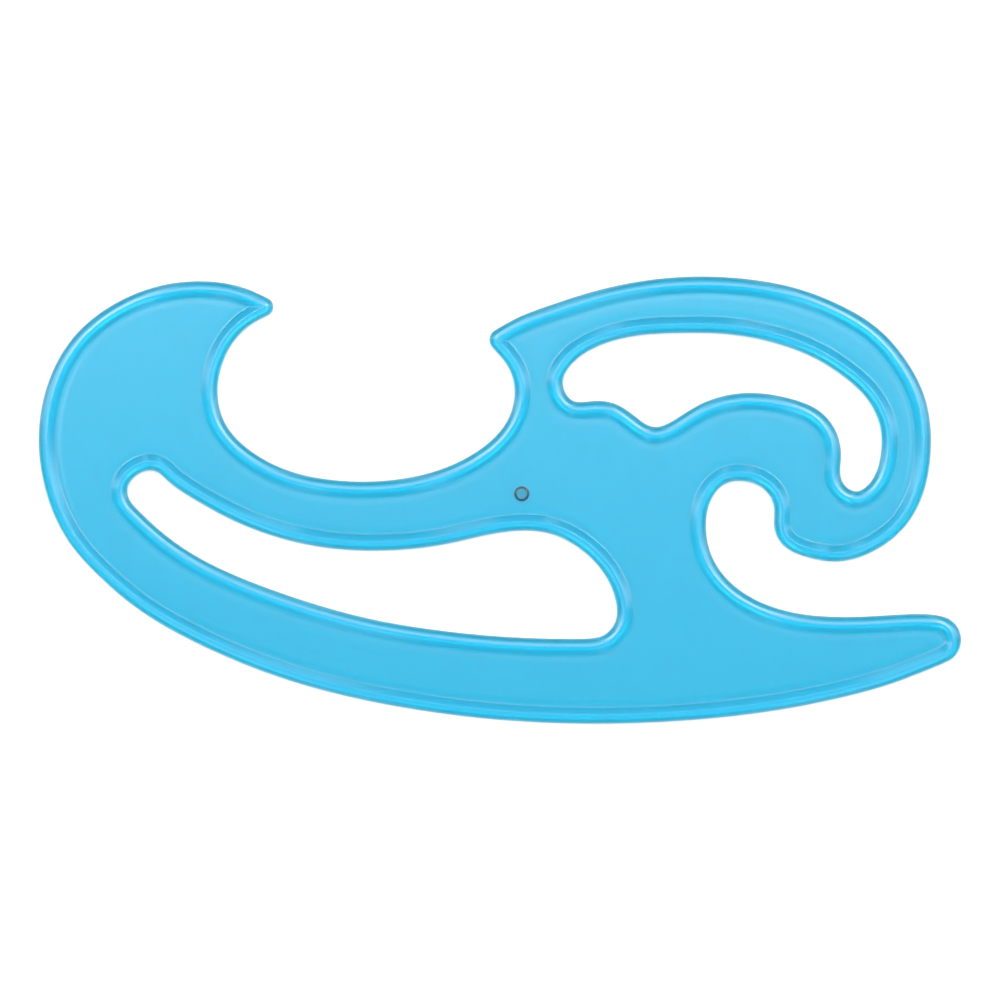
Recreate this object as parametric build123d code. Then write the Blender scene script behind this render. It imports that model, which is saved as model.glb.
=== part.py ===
from build123d import *
from math import ceil, radians, sin
import os

"""French curve: a one-piece moulded drawing template with a raised round bead along every edge.

Millimetres, +Z up. It lies flat on its drawing face at Z = 0. The origin is the middle of the
bounding box on that face, X runs along the length and +Y points to the back of the curves.
"""


# Heights above the drawing face
WEB_THICKNESS = 1.4
BEAD_HEIGHT = 2.2

# The bead that follows every edge, measured inward from the edge
BEAD_CREST = 2.4
BEAD_FOOT = 4.4
BEAD_SHOULDER = 0.9

# How an edge's shape is carried over to a line inside it: the length of each span, the spacing of
# its points, how much too near the edge a point may be, and how far it stays from the span's ends
INSET_SPAN = 30.0
INSET_STEP = 3.0
INSET_GAP = 0.05
INSET_CLEAR = 1.0

# Relief under every edge, which keeps ink from creeping beneath it
INK_RELIEF = 0.3

# The trimmed stub of the moulding gate on the web
GATE_CENTRE = (5.9, 1.7)
GATE_DIAMETER = 3.8
GATE_HEIGHT = 0.45
GATE_ROUND = 0.12

UP = (0, 0, 1)

# Round tips of the outline: centre, radius, bearing of the first end, and clockwise sweep in degrees
BACK_BEAK = ((0.15, 43.45), 3.0, 221, 102)
TAIL = ((118.5, -37.9), 6.5, 75, 143)
CROOK_BEAK = ((-64.0, 52.4), 2.5, 63, 129)

# Points that each curved run passes, clockwise round the outline
BACK_RUN = [
    (4.0, 49.05), (13.0, 52.6), (24.5, 56.3), (37.5, 59.2), (51.5, 60.55), (67.0, 59.9),
    (81.0, 57.2), (92.5, 52.7), (102.4, 46.5), (110.1, 37.8), (115.2, 27.6), (116.8, 14.7),
    (114.2, 0.5), (109.1, -7.9), (101.4, -13.75), (92.1, -16.6), (82.8, -15.3), (77.0, -12.4),
    (74.5, -8.2), (74.3, -2.0), (72.3, 2.3), (66.3, 5.15), (61.0, 4.4), (57.4, 0.5),
    (55.8, -6.4), (57.4, -15.2), (61.9, -21.8), (69.2, -27.0), (79.5, -30.5), (92.5, -31.7),
    (104.5, -31.3), (113.0, -30.9),
]
BELLY_RUN = [
    (108.0, -49.1), (93.0, -53.4), (74.0, -57.1), (52.0, -59.6), (27.0, -60.6), (0.0, -59.55),
    (-28.0, -55.9), (-56.4, -49.1), (-83.5, -38.1), (-97.0, -30.3), (-108.5, -20.8),
    (-117.2, -10.8), (-123.1, 2.4), (-125.0, 17.0), (-122.6, 31.3), (-115.6, 44.1),
    (-104.6, 53.1), (-92.0, 58.1), (-80.5, 59.3), (-69.5, 57.55),
]
BAY_RUN = [
    (-66.9, 48.0), (-71.8, 43.6), (-75.5, 36.3), (-76.6, 29.0), (-74.5, 20.7), (-69.0, 14.4),
    (-58.5, 8.4), (-45.0, 5.4), (-31.0, 5.25), (-17.0, 8.0), (-5.0, 14.0), (2.0, 21.5),
    (4.0, 30.0), (1.8, 36.8),
]

# Points that each slot's closed edge passes
LONG_SLOT = [
    (-91.6, 6.7), (-95.0, 8.1), (-98.6, 6.7), (-100.7, 4.2), (-100.8, 0.8), (-98.3, -2.6),
    (-91.1, -9.2), (-81.0, -16.0), (-70.0, -21.2), (-55.0, -26.7), (-37.0, -31.8),
    (-18.0, -35.15), (1.0, -37.05), (22.5, -37.6), (28.4, -36.5), (31.3, -33.0), (31.3, -26.8),
    (27.8, -19.3), (22.0, -13.4), (14.3, -9.3), (4.5, -8.3), (-14.1, -11.8), (-29.0, -13.55),
    (-45.0, -13.15), (-60.0, -10.15), (-74.0, -4.7), (-84.0, 0.9),
]
KIDNEY_SLOT = [
    (48.0, 45.3), (37.5, 44.65), (26.5, 41.7), (19.7, 37.2), (17.0, 31.3), (19.6, 27.0),
    (25.0, 26.8), (30.6, 26.3), (36.4, 22.85), (41.8, 19.8), (47.4, 21.8), (54.0, 25.8),
    (61.5, 28.4), (69.4, 29.0), (79.0, 27.4), (86.6, 24.1), (91.0, 18.7), (92.4, 11.6),
    (92.9, 4.7), (96.4, 2.35), (100.3, 4.6), (103.1, 11.2), (103.3, 18.7), (100.0, 26.8),
    (93.2, 33.5), (84.1, 39.1), (73.0, 43.0), (60.5, 45.1),
]


def tip(centre, radius, bearing, sweep):
    """One rounded tip: an arc about its centre, turning clockwise."""
    return CenterArc(centre, radius, bearing, -sweep)


def smooth_line(points, first_heading, last_heading):
    """A smooth line through points, with a given heading at each end."""
    return Spline(*points, tangents=(first_heading, last_heading), tangent_scalars=(1, 1))


def run(start, points, end):
    """One smooth edge run from the end of a tip to the start of the next, tangent to both."""
    return smooth_line([start @ 1, *points, end @ 0], start % 1, end % 0)


def outline_edges():
    """The outline in clockwise order: back beak, back, tail, belly, crook beak and bay."""
    back_beak = tip(*BACK_BEAK)
    tail = tip(*TAIL)
    crook_beak = tip(*CROOK_BEAK)
    back = run(back_beak, BACK_RUN, tail)
    belly = run(tail, BELLY_RUN, crook_beak)
    bay = run(crook_beak, BAY_RUN, back_beak)
    return [back_beak, back, tail, belly, crook_beak, bay]


def slot_edge(points):
    """The closed smooth edge of a slot."""
    return Spline(*points, periodic=True)


def inset_point(edge, along, depth):
    """A point at a depth inside the material, which lies to the right of every edge."""
    heading = edge % along
    return edge @ along + Vector(heading.Y, -heading.X) * depth


def beak_corner(beak, depth):
    """Where the two lines that run at a depth along a beak's sides meet."""
    centre, radius, bearing, sweep = beak
    outward = Vector(1, 0).rotate(Axis.Z, bearing - sweep / 2)
    return Vector(*centre) - outward * ((depth - radius) / sin(radians((180 - sweep) / 2)))


def inset_points(edge, first_along, last_along, depth):
    """Evenly spaced points at a depth along part of an edge."""
    count = ceil(edge.length * (last_along - first_along) / INSET_STEP)
    step = (last_along - first_along) / count
    return [inset_point(edge, first_along + (k + 0.5) * step, depth) for k in range(count)]


def inset_span(boundary, edge, span, depth, first_end, last_end):
    """The line at a depth along one span of an edge, between two given ends."""
    clear = [
        point
        for point in inset_points(edge, *span, depth)
        if boundary.distance_to(point) > depth - INSET_GAP
        and min((point - first_end).length, (point - last_end).length) > INSET_CLEAR
    ]
    return smooth_line([first_end, *clear, last_end], edge % span[0], edge % span[1])


def inset_run(boundary, edge, depth, first_end=None, last_end=None):
    """The lines at a depth along an edge, span by span so that every depth is divided alike."""
    spans = ceil(edge.length / INSET_SPAN)
    ends = [inset_point(edge, k / spans, depth) for k in range(spans + 1)]
    ends[0] = first_end or ends[0]
    ends[-1] = last_end or ends[-1]
    return [
        inset_span(boundary, edge, (k / spans, (k + 1) / spans), depth, ends[k], ends[k + 1])
        for k in range(spans)
    ]


def inset_outline(depth):
    """The closed line at a depth inside the outline, with a crisp corner in each beak."""
    edges = outline_edges()
    _, back, tail, belly, _, bay = edges
    outline = Wire(edges)
    back_corner = beak_corner(BACK_BEAK, depth)
    crook_corner = beak_corner(CROOK_BEAK, depth)
    return Wire([
        *inset_run(outline, back, depth, first_end=back_corner),
        *inset_run(outline, tail, depth),
        *inset_run(outline, belly, depth, last_end=crook_corner),
        *inset_run(outline, bay, depth, crook_corner, back_corner),
    ])


def outline_basin():
    """The space inside the outline's bead: it widens from the bead's foot to its crest."""
    foot = Pos(0, 0, WEB_THICKNESS) * inset_outline(BEAD_FOOT)
    crest = Pos(0, 0, BEAD_HEIGHT) * inset_outline(BEAD_CREST)
    return Solid.make_loft([foot, crest], ruled=True)


def slot_island(points):
    """The material round a slot: its side narrows from the bead's foot to its crest."""
    foot = Spline(*inset_points(slot_edge(points), 0, 1, BEAD_FOOT), periodic=True)
    base = Pos(0, 0, WEB_THICKNESS / 2) * Face(Wire([foot]))
    island = extrude(base, BEAD_HEIGHT - WEB_THICKNESS / 2, dir=UP)
    top = island.faces().sort_by(Axis.Z)[-1]
    flank_width = BEAD_FOOT - BEAD_CREST
    return chamfer(top.edges(), flank_width, BEAD_HEIGHT - WEB_THICKNESS, reference=top)


def web_pocket():
    """The space over the web, which leaves a sloping bead along the outline and round each slot."""
    return outline_basin() - slot_island(LONG_SLOT) - slot_island(KIDNEY_SLOT)


def edge_blank():
    """A plate of the bead's full height, its upper edges rounded and its lower edges relieved."""
    slots = [Wire([slot_edge(points)]) for points in (LONG_SLOT, KIDNEY_SLOT)]
    plate = extrude(Face(Wire(outline_edges()), slots), BEAD_HEIGHT, dir=UP)
    upper_edges = plate.faces().sort_by(Axis.Z)[-1].edges()
    plate = fillet(upper_edges, BEAD_SHOULDER)
    lower_edges = plate.faces().sort_by(Axis.Z)[0].edges()
    return chamfer(lower_edges, INK_RELIEF)


def gate_stub():
    """The low round stub that the moulding gate leaves on the web."""
    disc = Pos(*GATE_CENTRE, WEB_THICKNESS / 2) * Circle(GATE_DIAMETER / 2)
    stub = extrude(disc, WEB_THICKNESS / 2 + GATE_HEIGHT)
    return fillet(stub.edges().sort_by(Axis.Z)[-1], GATE_ROUND)


def curve_template():
    """The whole template as one solid."""
    return edge_blank() - web_pocket() + gate_stub()


os.makedirs("parts", exist_ok=True)
export_step(curve_template(), "parts/curve_template.step")
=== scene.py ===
"""French curve: a drawing template moulded in clear blue polystyrene, lying on a pale table.

The template is one moulding, so it is one mesh: a thin flat web with a raised bead along its
outside and round both of its slots, and the trimmed stub of the moulding gate.
"""

import logging
import math
from dataclasses import dataclass, field
from enum import Enum

import bpy
import numpy as np
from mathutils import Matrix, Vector, kdtree, noise
from mathutils.geometry import delaunay_2d_cdt


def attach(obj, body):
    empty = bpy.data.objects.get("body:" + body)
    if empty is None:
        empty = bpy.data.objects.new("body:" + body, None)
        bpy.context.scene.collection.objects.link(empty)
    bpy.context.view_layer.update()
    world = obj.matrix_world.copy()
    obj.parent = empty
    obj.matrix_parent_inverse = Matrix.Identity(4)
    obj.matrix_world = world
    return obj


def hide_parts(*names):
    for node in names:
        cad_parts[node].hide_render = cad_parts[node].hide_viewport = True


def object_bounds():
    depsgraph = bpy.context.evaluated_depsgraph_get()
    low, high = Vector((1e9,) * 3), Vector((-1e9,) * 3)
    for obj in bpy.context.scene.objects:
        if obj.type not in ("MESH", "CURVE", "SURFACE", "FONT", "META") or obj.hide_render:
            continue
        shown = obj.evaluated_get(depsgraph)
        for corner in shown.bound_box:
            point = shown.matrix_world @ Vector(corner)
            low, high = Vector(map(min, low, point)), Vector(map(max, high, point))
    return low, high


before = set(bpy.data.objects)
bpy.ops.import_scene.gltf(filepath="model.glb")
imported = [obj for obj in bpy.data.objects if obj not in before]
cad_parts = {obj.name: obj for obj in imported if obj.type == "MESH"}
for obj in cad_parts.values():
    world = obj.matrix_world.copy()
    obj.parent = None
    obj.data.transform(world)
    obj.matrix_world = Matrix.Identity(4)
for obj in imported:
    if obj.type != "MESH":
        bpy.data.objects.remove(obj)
cad_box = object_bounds()

LOG = logging.getLogger("french_curve")
MM = 0.001  # one millimetre, in metres
CAD_NODE = "curve_template"
EDGE_SHADE_LAYER = "painted_edge_shade"  # point values of the painted edge shade: 1 at the edge's face, 0 away from it
WELD = 1e-5  # points this near to each other, in millimetres, count as one


def srgb(code: str) -> tuple[float, float, float, float]:
    """Turn an sRGB hex colour into a linear one.

    Args:
        code: The colour as "#RRGGBB".

    Returns:
        Linear red, green and blue, and an alpha of 1.
    """
    parts = [int(code[i : i + 2], 16) / 255 for i in (1, 3, 5)]
    linear = [c / 12.92 if c <= 0.04045 else ((c + 0.055) / 1.055) ** 2.4 for c in parts]
    return (*linear, 1.0)


def add_node(tree: bpy.types.NodeTree, kind: str, inputs: dict, **settings: object) -> bpy.types.Node:
    """Add one node with its settings, and set or link its inputs.

    Args:
        tree: The node tree that takes the node.
        kind: The node's type name.
        inputs: For each input, by name or number, a plain value or the socket that feeds it.
        **settings: Properties to set on the node itself.

    Returns:
        The new node.
    """
    node = tree.nodes.new(kind)
    for name, value in settings.items():
        setattr(node, name, value)
    for key, value in inputs.items():
        if isinstance(value, bpy.types.NodeSocket):
            tree.links.new(value, node.inputs[key])
        else:
            node.inputs[key].default_value = value
    return node


class EdgeKind(Enum):
    """Which kind of edge a closed loop is: the template's outside, or one of its slots."""

    OUTSIDE = 1.0
    SLOT = -1.0


@dataclass(frozen=True)
class MouldedPolystyrene:
    """Injection-moulded transparent polystyrene, tinted light blue, from a polished mould.

    To the eye: clear and glossy, with no grain. The colour deepens with the thickness that light
    crosses, so the web is pale and the bead deeper. A darker teal painted along the edges is
    painted shade, and so is the dark ring painted round the gate stub's wall. Only the cut gate
    is dull, and its face is painted darker as painted shade.
    """

    body: str = "#BCEAFF"  # tint of the faces
    edge: str = "#59CBD8"  # painted shade: a darker teal painted along the edges
    ring_shade: str = "#00273F"  # painted shade: a dark ring painted on and beside the gate stub's wall
    cut: str = "#95D7E2"  # the stub's torn face, painted darker: painted shade for the light it lets through less
    tint: str = "#00FCFE"  # what a long path through the plastic tends to
    density: float = 1500.0  # absorption per metre of what the tint lacks
    ior: float = 1.59  # polystyrene
    polish: tuple[float, float] = (0.015, 0.045)  # roughness of the moulded faces, least and most
    scuff_pitch: float = 9.0 * MM  # a handled sheet is slightly duller in patches this wide
    scuff_range: tuple[float, float] = (0.35, 0.7)  # noise values of the least and most scuffed
    sink_pitch: float = 26.0 * MM  # the web of a cooled moulding is wavy at this scale
    sink_depth: float = 0.004 * MM
    ring_width: float = 0.6 * MM  # how wide the painted dark ring lies on and beside the stub's wall
    height_weight: float = 3.0  # heights count this much more, which keeps it off the underside
    cut_roughness: float = 0.06
    cut_blend: float = 0.2 * MM  # width over which the torn face fades in from the stub's wall
    cut_grain: float = 0.35 * MM  # torn plastic; real grain of 0.1 mm is too fine to show
    cut_depth: float = 0.006 * MM

    def material(self, gate: "GateStub") -> bpy.types.Material:
        """Build the material.

        Args:
            gate: The stub whose top was cut, which is rough.

        Returns:
            The node material for the whole moulding.
        """
        made = bpy.data.materials.new("moulded_polystyrene_blue")
        made.use_nodes = True
        tree = made.node_tree
        tree.nodes.clear()
        place = add_node(tree, "ShaderNodeTexCoord", {}).outputs["Object"]
        scuffs = add_node(
            tree,
            "ShaderNodeTexNoise",
            {"Vector": place, "Scale": 1 / self.scuff_pitch, "Detail": 3.0, "Roughness": 0.6},
        )
        polish = add_node(
            tree,
            "ShaderNodeMapRange",
            {
                "Value": scuffs.outputs["Fac"],
                "From Min": self.scuff_range[0],
                "From Max": self.scuff_range[1],
                "To Min": self.polish[0],
                "To Max": self.polish[1],
            },
        )
        weighted = add_node(
            tree,
            "ShaderNodeVectorMath",
            {0: place, 1: (1.0, 1.0, self.height_weight)},
            operation="MULTIPLY",
        )
        middle = Vector((*gate.centre, (gate.base + gate.rise / 2) * self.height_weight)) * MM
        from_gate = add_node(
            tree,
            "ShaderNodeVectorMath",
            {0: weighted.outputs[0], 1: middle},
            operation="DISTANCE",
        )
        on_cut = add_node(
            tree,
            "ShaderNodeMapRange",
            {
                "Value": from_gate.outputs["Value"],
                "From Min": gate.flat_radius * MM - self.cut_blend,
                "From Max": gate.flat_radius * MM,
                "To Min": 1.0,
                "To Max": 0.0,
            },
            interpolation_type="SMOOTHSTEP",
        )
        # painted shade: the dark ring on and beside the stub's wall
        ring_shade_mask = add_node(
            tree,
            "ShaderNodeMath",
            {0: from_gate.outputs["Value"], 1: gate.wall_radius * MM, 2: self.ring_width / 2},
            operation="COMPARE",
        )
        # painted shade: the darker teal near the edges, read from the mesh
        edge_shade_mask = add_node(tree, "ShaderNodeAttribute", {}, attribute_name=EDGE_SHADE_LAYER)
        deeper = add_node(
            tree,
            "ShaderNodeMix",
            {0: edge_shade_mask.outputs["Fac"], 6: srgb(self.body), 7: srgb(self.edge)},
            data_type="RGBA",
        )
        # painted shade: the cut face painted darker
        cut_shaded = add_node(
            tree,
            "ShaderNodeMix",
            {0: on_cut.outputs[0], 6: deeper.outputs[2], 7: srgb(self.cut)},
            data_type="RGBA",
        )
        # painted shade: the dark ring painted over all
        colour = add_node(
            tree,
            "ShaderNodeMix",
            {0: ring_shade_mask.outputs[0], 6: cut_shaded.outputs[2], 7: srgb(self.ring_shade)},
            data_type="RGBA",
        )
        roughness = add_node(
            tree,
            "ShaderNodeMix",
            {0: on_cut.outputs[0], 2: polish.outputs[0], 3: self.cut_roughness},
            data_type="FLOAT",
        )
        sink = add_node(
            tree,
            "ShaderNodeTexNoise",
            {"Vector": place, "Scale": 1 / self.sink_pitch, "Detail": 1.0},
        )
        grain = add_node(
            tree,
            "ShaderNodeTexNoise",
            {"Vector": place, "Scale": 1 / self.cut_grain, "Detail": 4.0, "Roughness": 0.7},
        )
        torn = add_node(
            tree,
            "ShaderNodeMath",
            {0: grain.outputs["Fac"], 1: on_cut.outputs[0]},
            operation="MULTIPLY",
        )
        waves = add_node(
            tree,
            "ShaderNodeBump",
            {"Height": sink.outputs["Fac"], "Strength": 1.0, "Distance": self.sink_depth},
        )
        relief = add_node(
            tree,
            "ShaderNodeBump",
            {
                "Height": torn.outputs[0],
                "Strength": 1.0,
                "Distance": self.cut_depth,
                "Normal": waves.outputs[0],
            },
        )
        surface = add_node(
            tree,
            "ShaderNodeBsdfPrincipled",
            {
                "Base Color": colour.outputs[2],
                "Roughness": roughness.outputs[0],
                "IOR": self.ior,
                "Transmission Weight": 1.0,
                "Normal": relief.outputs[0],
            },
        )
        depth = add_node(
            tree,
            "ShaderNodeVolumeAbsorption",
            {"Color": srgb(self.tint), "Density": self.density},
        )
        add_node(
            tree,
            "ShaderNodeOutputMaterial",
            {"Surface": surface.outputs[0], "Volume": depth.outputs[0]},
        )
        return made


@dataclass(frozen=True)
class MattPaper:
    """Uncoated white card: an even, matt, slightly toothed sheet that shows no gloss."""

    colour: str = "#F6F6F6"
    roughness: float = 0.9
    tooth: float = 0.6 * MM  # fibre clumps of card
    tooth_depth: float = 0.02 * MM
    tooth_strength: float = 0.1

    def material(self) -> bpy.types.Material:
        """Build the material.

        Returns:
            The node material for the table.
        """
        made = bpy.data.materials.new("uncoated_white_card")
        made.use_nodes = True
        tree = made.node_tree
        tree.nodes.clear()
        place = add_node(tree, "ShaderNodeTexCoord", {}).outputs["Object"]
        fibre = add_node(
            tree,
            "ShaderNodeTexNoise",
            {"Vector": place, "Scale": 1 / self.tooth, "Detail": 2.0},
        )
        relief = add_node(
            tree,
            "ShaderNodeBump",
            {
                "Height": fibre.outputs["Fac"],
                "Strength": self.tooth_strength,
                "Distance": self.tooth_depth,
            },
        )
        surface = add_node(
            tree,
            "ShaderNodeBsdfDiffuse",
            {
                "Color": srgb(self.colour),
                "Roughness": self.roughness,
                "Normal": relief.outputs[0],
            },
        )
        add_node(tree, "ShaderNodeOutputMaterial", {"Surface": surface.outputs[0]})
        return made


@dataclass
class EdgeLoop:
    """A closed edge of the template, as a smooth curve through points of the frame's own edge.

    The plastic is always on the curve's left. Sizes are in millimetres.
    """

    knots: np.ndarray
    kind: EdgeKind
    finest: float = 0.32  # least and greatest spacing of the mesh's points
    coarsest: float = 0.8
    turn: float = 0.16  # how far the mesh turns from point to point between those, in radians
    scan: float = 0.1  # spacing at which the bends are read
    evening: int = 21  # how many of those readings are averaged, an odd number
    stations: np.ndarray = field(init=False)
    bends: np.ndarray = field(init=False)
    length: float = field(init=False)

    def __post_init__(self) -> None:
        """Turn the loop the right way round and fit a periodic cubic spline."""
        if self.signed_area(self.knots) * self.kind.value < 0:
            self.knots = self.knots[::-1]
        closed = np.vstack([self.knots, self.knots[:1]])
        steps = np.linalg.norm(np.diff(closed, axis=0), axis=1)
        self.stations = np.concatenate([[0.0], np.cumsum(steps)])
        self.length = float(self.stations[-1])
        self.bends = self.second_derivatives(closed, steps)

    @staticmethod
    def signed_area(points: np.ndarray) -> float:
        """Return the area inside a closed polygon, positive when it runs anticlockwise."""
        after = np.roll(points, -1, axis=0)
        return float(np.sum(points[:, 0] * after[:, 1] - after[:, 0] * points[:, 1]) / 2)

    @staticmethod
    def second_derivatives(closed: np.ndarray, steps: np.ndarray) -> np.ndarray:
        """Solve for the spline's second derivatives at its knots.

        Args:
            closed: The knots, with the first one repeated at the end.
            steps: The distances from each knot to the next.

        Returns:
            The second derivatives, with the first one repeated at the end.
        """
        count = len(steps)
        before = np.roll(steps, 1)
        slopes = np.diff(closed, axis=0) / steps[:, None]
        turning = 6 * (slopes - np.roll(slopes, 1, axis=0))
        matrix = np.diag(2 * (steps + before))
        here = np.arange(count)
        matrix[here, (here + 1) % count] += steps
        matrix[here, here - 1] += before
        solved = np.linalg.solve(matrix, turning)
        return np.vstack([solved, solved[:1]])

    def at(self, where: np.ndarray) -> tuple[np.ndarray, np.ndarray, np.ndarray]:
        """Evaluate the curve.

        Args:
            where: Distances along the loop.

        Returns:
            The points, the unit normals into the plastic, and the curvatures.
        """
        where = np.mod(where, self.length)
        span = np.clip(np.searchsorted(self.stations, where, "right") - 1, 0, len(self.knots) - 1)
        start, step = self.stations[span], np.diff(self.stations)[span]
        b = ((where - start) / step)[:, None]  # the weight of the knot ahead, and a of the last
        a = 1 - b
        h = step[:, None]
        here, there = self.knots[span], self.knots[(span + 1) % len(self.knots)]
        bend, next_bend = self.bends[span], self.bends[span + 1]
        point = a * here + b * there + ((a**3 - a) * bend + (b**3 - b) * next_bend) * h**2 / 6
        run = (there - here) / h + ((3 * b**2 - 1) * next_bend - (3 * a**2 - 1) * bend) * h / 6
        swing = a * bend + b * next_bend
        speed = np.linalg.norm(run, axis=1)
        normal = np.column_stack([-run[:, 1], run[:, 0]]) / speed[:, None]
        curvature = (run[:, 0] * swing[:, 1] - run[:, 1] * swing[:, 0]) / speed**3
        return point, normal, curvature

    def spread(self) -> np.ndarray:
        """Choose where the mesh has points along the loop, closer together on tight bends.

        Returns:
            Distances along the loop.
        """
        fine = np.linspace(0, self.length, int(self.length / self.scan) + 1)
        radius = 1 / np.maximum(np.abs(self.at(fine)[2]), 1e-6)
        gap = np.clip(radius * self.turn, self.finest, self.coarsest)
        window = np.ones(self.evening) / self.evening
        lap = self.evening // 2
        gap = np.convolve(np.concatenate([gap[-lap:], gap, gap[:lap]]), window, "valid")
        rate = 1 / gap
        so_far = np.concatenate([[0], np.cumsum((rate[1:] + rate[:-1]) / 2 * np.diff(fine))])
        count = int(round(so_far[-1]))
        return np.interp(np.arange(count) * so_far[-1] / count, so_far, fine)


class Outline:
    """All edges of the template together, and how far any point is from the nearest one."""

    SAMPLE = 0.05  # spacing of the lookup points along the edges, in mm
    LEVEL_SLACK = 0.01  # how far from the level an edge's ends may be, in mm

    def __init__(self, node: bpy.types.Object, level: float) -> None:
        """Read the edges from a CAD node.

        Args:
            node: The CAD node's object, which is only read.
            level: The height at which its walls start, in mm.
        """
        loops = sorted(self.read_loops(node, level), key=lambda p: -abs(EdgeLoop.signed_area(p)))
        kinds = [EdgeKind.OUTSIDE] + [EdgeKind.SLOT] * (len(loops) - 1)
        self.loops = [EdgeLoop(points, kind) for points, kind in zip(loops, kinds)]
        samples = []
        for loop in self.loops:
            count = int(loop.length / self.SAMPLE)
            samples.append(loop.at(np.arange(count) * loop.length / count)[:2])
        self.points = np.vstack([s[0] for s in samples])
        self.normals = np.vstack([s[1] for s in samples])
        self.tree = kdtree.KDTree(len(self.points))
        for i, (x, y) in enumerate(self.points):
            self.tree.insert((x, y, 0), i)
        self.tree.balance()

    @staticmethod
    def read_loops(node: bpy.types.Object, level: float) -> list[np.ndarray]:
        """Chain the node's edges at one height into closed loops.

        Args:
            node: The CAD node's object.
            level: The height, in mm.

        Returns:
            One array of points for each loop, in mm.
        """
        mesh = node.data
        places = np.empty(len(mesh.vertices) * 3)
        mesh.vertices.foreach_get("co", places)
        places = np.round(places.reshape(-1, 3) / MM, 4)
        welded, number = np.unique(places, axis=0, return_inverse=True)
        number = number.reshape(-1)
        ends = np.empty(len(mesh.edges) * 2, int)
        mesh.edges.foreach_get("vertices", ends)
        pairs = number[ends].reshape(-1, 2)
        level_here = np.abs(welded[:, 2] - level) < Outline.LEVEL_SLACK
        joined: dict[int, set[int]] = {}
        for a, b in pairs[level_here[pairs].all(axis=1) & (pairs[:, 0] != pairs[:, 1])]:
            joined.setdefault(int(a), set()).add(int(b))
            joined.setdefault(int(b), set()).add(int(a))
        loops = []
        while joined:
            first = min(joined)
            chain, last, here = [first], first, min(joined[first])
            while here != first:
                chain.append(here)
                last, here = here, next(n for n in sorted(joined[here]) if n != last)
            for used in chain:
                del joined[used]
            loops.append(welded[chain, :2])
        return loops

    def nearest(self, places: np.ndarray) -> tuple[np.ndarray, np.ndarray]:
        """Measure how deep points lie inside the plastic.

        Args:
            places: Points in the plane, in mm.

        Returns:
            Distances to the nearest edge, and for each point whether it is in the plastic.
        """
        found = np.array([self.tree.find((x, y, 0))[1] for x, y in places])
        away = places - self.points[found]
        normal = self.normals[found]
        tangent = np.column_stack([normal[:, 1], -normal[:, 0]])
        along = np.clip((away * tangent).sum(axis=1), -self.SAMPLE, self.SAMPLE)
        apart = np.linalg.norm(away - along[:, None] * tangent, axis=1)
        return apart, (away * normal).sum(axis=1) >= -1e-9


@dataclass
class BeadProfile:
    """The cross-section of the moulding, by distance in from an edge. Sizes in millimetres.

    From the edge inwards: an upright wall, a rounded shoulder, a flat crest, a slope down to
    the web, and beside its foot the slight sink that a thick rib leaves in a thin web.
    """

    web: float = 1.4
    crest: float = 2.2
    wall_top: float = 1.2  # height at which the upright wall turns into the shoulder
    shoulder: float = 2.25  # the shoulder, crest and slope end this far in from the edge
    crest_end: float = 2.4
    foot: float = 4.5
    crest_bend: float = 0.12  # share of the slope's width that bends down from the crest
    foot_bend: float = 0.15  # share of it that bends out on to the web
    sink: float = 0.035  # how far the web beside the bead has drawn in on cooling
    sink_end: float = 6.6
    under_relief: float = 0.3  # rounding under the edge
    relief_rows: tuple[tuple[float, float], ...] = ((1, 0), (0.45, 0.12), (0.12, 0.45), (0, 1))
    turns: tuple[float, ...] = (14, 27, 39, 50, 60, 70, 80)  # rows of the shoulder, in degrees
    shares: tuple[float, ...] = (0, 0.04, 0.08, 0.12, 0.3, 0.5, 0.7, 0.85, 0.9, 0.95, 1)
    sink_rows: int = 5
    guard: float = 0.06  # rows this near a bend keep its shading off the flat beside it
    under_guard: float = 0.15  # the same for the underside, and for the web
    web_guard: float = 0.2
    shade_full: float = 0.8  # in to here the painted edge shade shows in full
    shade_end: float = 1.5  # and from here on not at all

    def height(self, inside: np.ndarray) -> np.ndarray:
        """Return the height of the top face at each distance in from the edge."""
        rise = np.clip(1 - inside / self.shoulder, 0, 1)
        outer = self.wall_top + (self.crest - self.wall_top) * np.sqrt(1 - rise**2)
        bottom = self.web - self.sink
        share = np.clip((inside - self.crest_end) / (self.foot - self.crest_end), 0, 1)
        first, last = self.crest_bend, self.foot_bend
        whole = 1 - (first + last) / 2
        fall = np.select(
            [share < first, share < 1 - last],
            [share**2 / (2 * first), share - first / 2],
            whole - (1 - share) ** 2 / (2 * last),
        )
        slope = bottom + (self.crest - bottom) * (1 - fall / whole)
        past = np.clip((inside - self.foot) / (self.sink_end - self.foot), 0, 1)
        level = self.web - self.sink * (1 + np.cos(math.pi * past)) / 2
        return np.select([inside < self.shoulder, inside < self.foot], [outer, slope], level)

    def edge_shade_share(self, inside: np.ndarray) -> np.ndarray:
        """Return how much of the painted edge shade shows at each distance in from the edge."""
        return np.clip((self.shade_end - inside) / (self.shade_end - self.shade_full), 0, 1)

    def rings(self) -> list[float]:
        """List the distances in from the edge at which the top face has a row of points."""
        shoulder = [self.shoulder * (1 - math.cos(turn)) for turn in np.radians(self.turns)]
        width = self.foot - self.crest_end
        slope = [self.crest_end + share * width for share in self.shares]
        beside = list(np.linspace(self.foot, self.sink_end, self.sink_rows))[1:]
        return shoulder + [self.shoulder] + slope + beside + [self.sink_end + self.web_guard]

    def wall(self) -> list[tuple[float, float]]:
        """List the rows of the edge below the top face, as (distance in, height)."""
        r = self.under_relief
        under = [(r + self.under_guard, 0.0)] + [(r * x, r * y) for x, y in self.relief_rows]
        return under + [(0.0, r + self.guard), (0.0, self.wall_top - self.guard)]


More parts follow.
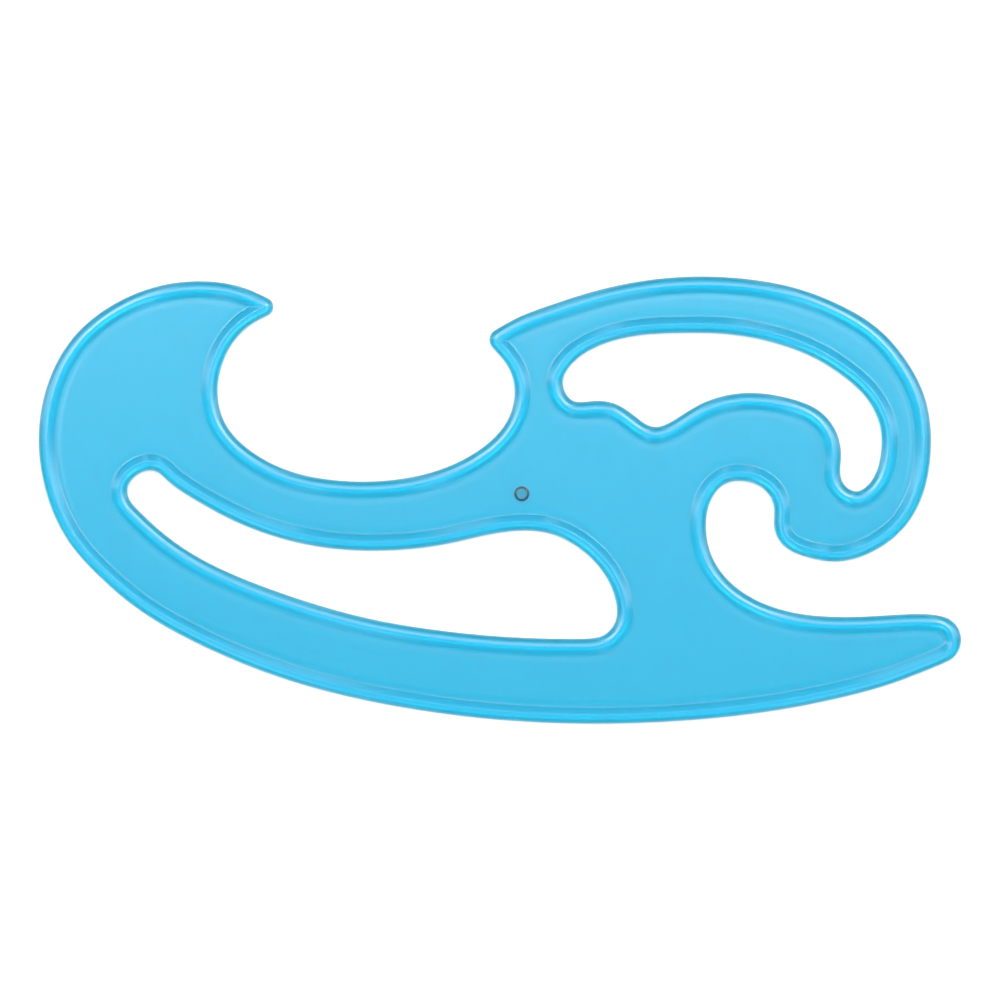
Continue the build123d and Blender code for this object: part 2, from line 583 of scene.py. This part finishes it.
@dataclass
class GateStub:
    """What is left of the moulding gate: a low round stub with a roughly cut top.

    Its wall is drafted, so that it leaves the mould. Sizes are in millimetres.
    """

    centre: tuple[float, float] = (5.9, 1.7)
    radius: float = 1.85
    flat_radius: float = 1.7
    base: float = 1.4
    rise: float = 0.25
    unevenness: float = 0.012  # depth of the tears in the cut face
    tears: float = 1.6  # tears in a millimetre, roughly
    apron: float = 0.25  # rows this far outside the wall keep its shading off the web
    guard: float = 0.05
    wall: tuple[tuple[float, float], ...] = (
        (0.125, 0.075),
        (0.25, 0.225),
        (0.75, 0.8),
        (0.875, 0.9375),
    )  # its rows, as shares of its width and height
    sides: int = 64
    mesh_step: float = 0.13  # spacing of the cut face's points

    @property
    def top(self) -> float:
        """Return the height of the cut face."""
        return self.base + self.rise

    @property
    def wall_radius(self) -> float:
        """Return the radius of the middle of the drafted wall."""
        return (self.radius + self.flat_radius) / 2

    def section(self) -> list[tuple[float, float]]:
        """List the rows of the stub from its foot to its flat, as (radius, height)."""
        width = self.radius - self.flat_radius
        rows = [(self.radius + self.apron, self.base), (self.radius + self.guard, self.base)]
        rows += [(self.radius - x * width, self.base + y * self.rise) for x, y in self.wall]
        return rows + [(self.flat_radius, self.top)]

    def points(self) -> list[tuple[float, float, float]]:
        """Lay out the stub's points.

        Returns:
            Points (x, y, height), with the rows of the wall first and the cut face last.
        """
        made = []
        for radius, height in self.section():
            for i in range(self.sides):
                turn = math.tau * i / self.sides
                made.append(
                    (
                        self.centre[0] + radius * math.cos(turn),
                        self.centre[1] + radius * math.sin(turn),
                        height,
                    )
                )
        radius = self.flat_radius - self.mesh_step
        while radius > self.mesh_step / 2:
            count = max(6, round(math.tau * radius / self.mesh_step))
            for i in range(count):
                turn = math.tau * (i + 0.5 * (count % 2)) / count
                x = self.centre[0] + radius * math.cos(turn)
                y = self.centre[1] + radius * math.sin(turn)
                torn = noise.fractal(Vector((x, y, 0.0)) * self.tears, 0.8, 2.1, 4)
                made.append((x, y, self.top - self.unevenness * abs(torn)))
            radius -= self.mesh_step
        return made


@dataclass
class CurveTemplate:
    """The whole moulding: web, bead along every edge, and gate stub, as one mesh."""

    finish: MouldedPolystyrene = field(default_factory=MouldedPolystyrene)
    bead: BeadProfile = field(default_factory=BeadProfile)
    gate: GateStub = field(default_factory=GateStub)
    slack: float = 0.004  # how much nearer to an edge than its row a point may be, in mm
    halvings: int = 14  # steps in the search for where two rows meet
    under: float = 0.05  # points lower than this, in mm, are the underside's

    def inset_row(self, outline: Outline, loop: EdgeLoop, spots: np.ndarray, inside: float) -> tuple:
        """Offset a loop into the plastic, and leave out what comes nearer to another edge.

        Args:
            outline: All edges.
            loop: The loop to offset.
            spots: Where along the loop the points stand.
            inside: How far in, in mm.

        Returns:
            The points that stay, and the pairs of them that are joined.
        """
        point, normal, _ = loop.at(spots)
        moved = point + inside * normal
        clear = outline.nearest(moved)[0] > inside - self.slack
        made: list[np.ndarray] = []
        joined: list[tuple[int, int]] = []
        count = len(spots)
        number = {}
        for i in range(count):
            if clear[i]:
                number[i] = len(made)
                made.append(moved[i])
        for i in range(count):
            j = (i + 1) % count
            if clear[i] and clear[j]:
                joined.append((number[i], number[j]))
            elif clear[i] or clear[j]:
                good, bad = (i, j) if clear[i] else (j, i)
                meet = self.last_clear(outline, loop, spots[good], spots[bad], inside)
                joined.append((number[good], len(made)))
                made.append(meet)
        return made, joined

    def last_clear(
        self, outline: Outline, loop: EdgeLoop, good: float, bad: float, inside: float
    ) -> np.ndarray:
        """Find where a row meets the row of another part of the edge.

        Args:
            outline: All edges.
            loop: The loop that the row belongs to.
            good: A place along the loop whose offset point is clear.
            bad: A place next to it whose offset point isn't.
            inside: How far in the row is, in mm.

        Returns:
            The meeting point.
        """
        if abs(good - bad) > loop.length / 2:
            bad += math.copysign(loop.length, good - bad)
        for _ in range(self.halvings):
            middle = (good + bad) / 2
            point, normal, _ = loop.at(np.array([middle]))
            if outline.nearest(point + inside * normal)[0][0] > inside - self.slack / 4:
                good = middle
            else:
                bad = middle
        point, normal, _ = loop.at(np.array([good]))
        return (point + inside * normal)[0]

    def build_mesh(self, outline: Outline) -> bpy.types.Mesh:
        """Build the mesh: wall, underside and top face.

        Args:
            outline: The edges, from the frame.

        Returns:
            The mesh, in metres.
        """
        spots = [loop.spread() for loop in outline.loops]
        counts = [len(s) for s in spots]
        starts = np.concatenate([[0], np.cumsum(counts)])
        edge_count = int(starts[-1])
        vertices: list[tuple[float, float, float]] = []
        faces: list[tuple[int, ...]] = []

        # the wall, from the underside up to where the top face begins
        rows = self.bead.wall() + [(0.0, self.bead.wall_top)]
        for inside, height in rows:
            for loop, places in zip(outline.loops, spots):
                point, normal, _ = loop.at(places)
                for x, y in point + inside * normal:
                    vertices.append((x, y, height))
        for row in range(len(rows) - 1):
            low, high = row * edge_count, (row + 1) * edge_count
            for start, count in zip(starts, counts):
                for i in range(count):
                    a, b = int(start) + i, int(start) + (i + 1) % count
                    faces.append((low + a, low + b, high + b, high + a))
        ring = []
        for start, count in zip(starts, counts):
            ring += [(int(start) + i, int(start) + (i + 1) % count) for i in range(count)]

        # the underside: flat, between the first row's loops
        flat = [Vector(v[:2]) for v in vertices[:edge_count]]
        for a, b, c in self.triangles(outline, flat, ring)[1]:
            faces.append((c, b, a))

        # the top face: rows that follow the edges, and the stub
        rim = (len(rows) - 1) * edge_count
        plan = [Vector(v[:2]) for v in vertices[rim : rim + edge_count]]
        height = [self.bead.wall_top] * edge_count
        joined = list(ring)
        for inside in self.bead.rings():
            level = float(self.bead.height(np.array([inside]))[0])
            for loop, places in zip(outline.loops, spots):
                made, pairs = self.inset_row(outline, loop, places, inside)
                first = len(plan)
                plan += [Vector(p) for p in made]
                height += [level] * len(made)
                joined += [(first + a, first + b) for a, b in pairs]
        for x, y, level in self.gate.points():
            plan.append(Vector((x, y)))
            height.append(level)
        placed, top, source = self.triangles(outline, plan, joined)
        fresh = [i for i in range(len(placed)) if not source[i]]
        if fresh:
            apart = outline.nearest(np.array([placed[i][:] for i in fresh]))[0]
            added = dict(zip(fresh, self.bead.height(apart)))
        number = {}
        for i, spot in enumerate(placed):
            if source[i] and source[i][0] < edge_count:
                number[i] = rim + source[i][0]
                continue
            number[i] = len(vertices)
            level = height[source[i][0]] if source[i] else added[i]
            vertices.append((spot[0], spot[1], float(level)))
        for corners in top:
            faces.append(tuple(number[i] for i in corners))

        mesh = bpy.data.meshes.new("template_moulding")
        mesh.from_pydata([(x * MM, y * MM, z * MM) for x, y, z in vertices], [], faces)
        places = np.array(vertices)
        # how much painted edge shade each point takes; the underside takes none
        share = self.bead.edge_shade_share(outline.nearest(places[:, :2])[0])
        layer = mesh.attributes.new(EDGE_SHADE_LAYER, "FLOAT", "POINT")
        layer.data.foreach_set("value", np.where(places[:, 2] > self.under, share, 0.0))
        mesh.validate()
        mesh.shade_smooth()
        return mesh

    @staticmethod
    def triangles(outline: Outline, plan: list[Vector], joined: list[tuple[int, int]]) -> tuple:
        """Fill the plastic's plan with triangles.

        A triangle stays if its middle is in the plastic. Where the border lies inside the edge,
        as the underside's does, thin ones that bridge a hollow of the border also stay.

        Args:
            outline: All edges, which say where there is plastic.
            plan: The points, in mm.
            joined: Pairs of points that must stay joined.

        Returns:
            The points with any that were added, the triangles anticlockwise, and for each
            point the given ones that it stands for.
        """
        placed, _, found, source, _, _ = delaunay_2d_cdt(plan, joined, [], 0, WELD)
        places = np.array([p[:] for p in placed])
        corners = np.array(found)
        middle = places[corners].mean(axis=1)
        return places, corners[outline.nearest(middle)[1]].tolist(), source

    def build(self, node: bpy.types.Object) -> bpy.types.Object:
        """Build the piece, dress it and tie it to the frame.

        Args:
            node: The CAD node that it stands for.

        Returns:
            The finished piece.
        """
        outline = Outline(node, self.bead.under_relief)
        piece = bpy.data.objects.new("template_moulding", self.build_mesh(outline))
        bpy.context.scene.collection.objects.link(piece)
        piece.data.materials.append(self.finish.material(self.gate))
        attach(piece, "root")
        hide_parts(CAD_NODE)
        return piece


@dataclass
class Table:
    """The pale table top: one large sheet of white card, just under the template."""

    half: float = 4.0
    gap: float = 0.03 * MM
    finish: MattPaper = field(default_factory=MattPaper)

    def build(self) -> bpy.types.Object:
        """Build the table.

        Returns:
            The table's object.
        """
        h, z = self.half, -self.gap
        mesh = bpy.data.meshes.new("table")
        mesh.from_pydata([(-h, -h, z), (h, -h, z), (h, h, z), (-h, h, z)], [], [(0, 1, 2, 3)])
        table = bpy.data.objects.new("table", mesh)
        bpy.context.scene.collection.objects.link(table)
        table.data.materials.append(self.finish.material())
        return table


@dataclass
class Studio:
    """Plain soft light: a wide diffuser, brightest a little to the far side, in a pale room.

    Each sweep pairs a part of the direction, from -1 to 1, with a share of the brightness.
    """

    strength: float = 15.5
    near_to_far: tuple[tuple[float, str], ...] = (
        (-1.0, "#4B4B4B"),
        (-0.7, "#4B4B4B"),
        (-0.35, "#5F5F5F"),
        (-0.08, "#606060"),
        (0.0, "#7E7E7E"),
        (0.06, "#9D9D9D"),
        (0.12, "#C3C3C3"),
        (0.2, "#D2D2D2"),
        (0.3, "#A6A6A6"),
        (0.42, "#7C7C7C"),
        (0.6, "#5D5D5D"),
        (0.8, "#5B5B5B"),
        (1.0, "#888888"),
    )
    side_to_side: tuple[tuple[float, str], ...] = (
        (0.0, "#B3B3B3"),
        (0.11, "#B5B5B5"),
        (0.15, "#FFFFFF"),
        (0.21, "#FFFFFF"),
        (0.28, "#BCBCBC"),
        (0.42, "#ADADAD"),
        (0.7, "#959595"),
    )
    walls: str = "#777777"
    walls_start: float = 0.5  # upward parts of the direction at which the walls take over
    walls_full: float = 0.2

    @staticmethod
    def sweep(tree: bpy.types.NodeTree, part: bpy.types.NodeSocket, stops: tuple) -> bpy.types.NodeSocket:
        """Turn one part of the direction into a brightness.

        Args:
            tree: The world's node tree.
            part: The part of the direction, from 0 to 1.
            stops: Places from 0 to 1, each with an sRGB grey.

        Returns:
            The colour socket.
        """
        ramp = add_node(tree, "ShaderNodeValToRGB", {0: part})
        stop = ramp.color_ramp.elements
        while len(stop) < len(stops):
            stop.new(0.5)
        for element, (place, grey) in zip(stop, stops):
            element.position = place
            element.color = srgb(grey)
        return ramp.outputs[0]

    def build(self) -> bpy.types.World:
        """Build the light.

        Returns:
            The world that holds it.
        """
        world = bpy.data.worlds.new("studio_room")
        world.use_nodes = True
        tree = world.node_tree
        tree.nodes.clear()
        way = add_node(tree, "ShaderNodeTexCoord", {}).outputs["Generated"]
        parts = add_node(tree, "ShaderNodeSeparateXYZ", {0: way}).outputs
        half = add_node(
            tree,
            "ShaderNodeMath",
            {0: parts["Y"], 1: 0.5, 2: 0.5},
            operation="MULTIPLY_ADD",
        )
        stops = tuple((place / 2 + 0.5, grey) for place, grey in self.near_to_far)
        far = self.sweep(tree, half.outputs[0], stops)
        aside = add_node(tree, "ShaderNodeMath", {0: parts["X"]}, operation="ABSOLUTE")
        side = self.sweep(tree, aside.outputs[0], self.side_to_side)
        overhead = add_node(
            tree,
            "ShaderNodeMix",
            {0: 1.0, 6: far, 7: side},
            data_type="RGBA",
            blend_type="MULTIPLY",
        )
        low = add_node(
            tree,
            "ShaderNodeMapRange",
            {"Value": parts["Z"], "From Min": self.walls_start, "From Max": self.walls_full},
            interpolation_type="SMOOTHSTEP",
        )
        room = add_node(
            tree,
            "ShaderNodeMix",
            {0: low.outputs[0], 6: overhead.outputs[2], 7: srgb(self.walls)},
            data_type="RGBA",
        )
        light = add_node(
            tree,
            "ShaderNodeBackground",
            {"Color": room.outputs[2], "Strength": self.strength},
        )
        add_node(tree, "ShaderNodeOutputWorld", {"Surface": light.outputs[0]})
        bpy.context.scene.world = world
        return world


@dataclass
class OverheadCamera:
    """A camera on a copy stand, straight above the middle of the template."""

    field_of_view: float = 271.3 * MM  # width that it takes in at the table
    lens: float = 180.0
    sensor: float = 36.0
    clip: tuple[float, float] = (0.01, 20.0)

    def build(self) -> bpy.types.Object:
        """Build the camera and make it the scene's own.

        Returns:
            The camera's object.
        """
        data = bpy.data.cameras.new("copy_stand_camera")
        data.lens = self.lens
        data.sensor_width = self.sensor
        camera = bpy.data.objects.new("copy_stand_camera", data)
        low, high = cad_box
        middle = (low + high) / 2
        camera.location = (middle.x, middle.y, self.field_of_view * self.lens / self.sensor)
        data.clip_start, data.clip_end = self.clip
        bpy.context.scene.collection.objects.link(camera)
        bpy.context.scene.camera = camera
        return camera


def main() -> None:
    """Build everything in order and report each piece."""
    logging.basicConfig(level=logging.INFO, format="%(name)s: %(message)s")
    bpy.context.scene.view_settings.view_transform = "Standard"
    template = CurveTemplate().build(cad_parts[CAD_NODE])
    LOG.info("%s: %d faces", template.name, len(template.data.polygons))
    LOG.info("%s: %.1f m wide", Table().build().name, 2 * Table.half)
    LOG.info("%s: strength %.1f", Studio().build().name, Studio.strength)
    LOG.info("%s: lens %.0f mm", OverheadCamera().build().name, OverheadCamera.lens)


if __name__ == "__main__":
    main()
